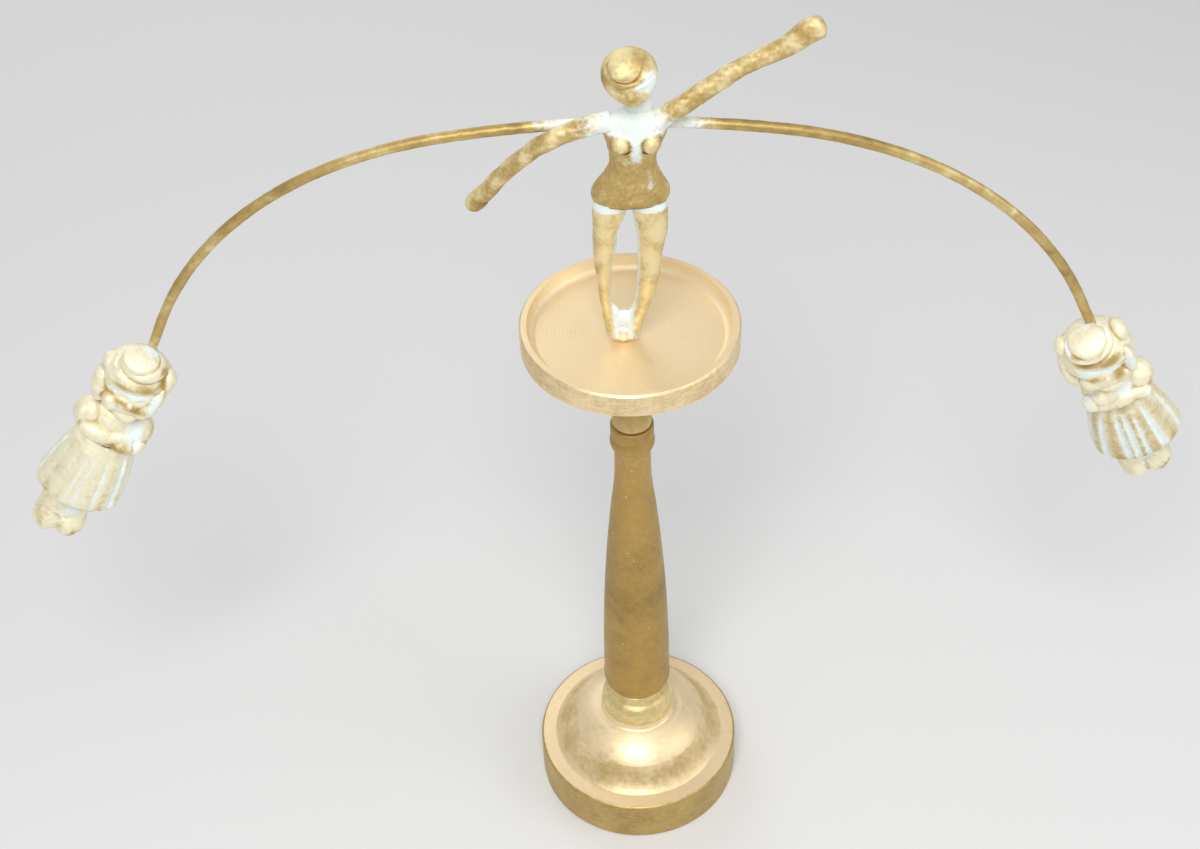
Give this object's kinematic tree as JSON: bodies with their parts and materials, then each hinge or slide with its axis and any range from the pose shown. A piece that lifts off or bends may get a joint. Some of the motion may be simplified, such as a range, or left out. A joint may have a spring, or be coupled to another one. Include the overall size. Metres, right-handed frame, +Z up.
{
  "type": "counterweight balancing toy",
  "caption": "Brass balancing figure standing on the ball of its foot in a dish on a turned stand, held upright by dolls hung low on a bent rod.",
  "frame": {"origin": "centre of the flat underside of the stand, in the plane it rests on", "axes": "+Z up the column, +X along the bent rod towards the viewer's right, -Y towards the viewer"},
  "size_m": [0.3932, 0.0772, 0.3464],
  "materials": {
    "brass_base": "turned, satin, worn",
    "felt": "felt",
    "brass_collar": "turned, satin, worn",
    "brass_column": "turned, satin, darkened",
    "brass_dish": "turned, satin, mottled",
    "steel_rod": "drawn, bare",
    "steel_washer": "bare",
    "steel_nut": "bare",
    "steel_pin": "polished",
    "brass_ball": "polished by wear",
    "brass_braze": "matt, with pale residue",
    "brass_legs": "cast, hand finished, patinated",
    "brass_torso": "cast, hand finished, patinated",
    "brass_head": "cast, hand finished, patinated",
    "brass_arms": "cast, hand finished, patinated",
    "brass_wire": "drawn rod, tarnished",
    "brass_doll_head": "cast, worn, pale residue",
    "brass_doll_bust": "cast, worn, pale residue",
    "brass_doll_skirt": "cast, worn, pale residue",
    "brass_doll_shoes": "cast, worn, pale residue"
  },
  "bodies": {
    "stand": {"base": "brass_base", "base_felt": "felt", "base_collar": "brass_collar", "column": "brass_column", "dish": "brass_dish", "tie_rod": "steel_rod", "rod_washer": "steel_washer", "rod_nut": "steel_nut"},
    "foot_pin": {"pivot_pin": "steel_pin"},
    "foot_turn": {"foot_ball": "brass_ball"},
    "foot_roll": {"ankle_braze": "brass_braze"},
    "figure": {"left_leg": "brass_legs", "right_leg": "brass_legs", "torso": "brass_torso", "head": "brass_head", "left_arm": "brass_arms", "right_arm": "brass_arms", "balance_wire": "brass_wire", "left_doll_head": "brass_doll_head", "left_doll_bust": "brass_doll_bust", "left_doll_skirt": "brass_doll_skirt", "left_doll_shoes": "brass_doll_shoes", "right_doll_head": "brass_doll_head", "right_doll_bust": "brass_doll_bust", "right_doll_skirt": "brass_doll_skirt", "right_doll_shoes": "brass_doll_shoes"}
  },
  "joints": [
    {"name": "lift_off", "type": "slide", "parent": "stand", "child": "foot_pin", "axis": [0, 0, 1], "range_m": [0, 0.12]},
    {"name": "spin", "type": "hinge", "parent": "foot_pin", "child": "foot_turn", "pos_m": [-0.002, -0.0035, 0.2318], "axis": [0, 0, 1], "continuous": true},
    {"name": "rock_side", "type": "hinge", "parent": "foot_turn", "child": "foot_roll", "pos_m": [-0.002, -0.0035, 0.2318], "axis": [0, 1, 0], "range_deg": [-22, 22]},
    {"name": "rock_fore", "type": "hinge", "parent": "foot_roll", "child": "figure", "pos_m": [-0.002, -0.0035, 0.2318], "axis": [1, 0, 0], "range_deg": [-18, 18]}
  ]
}
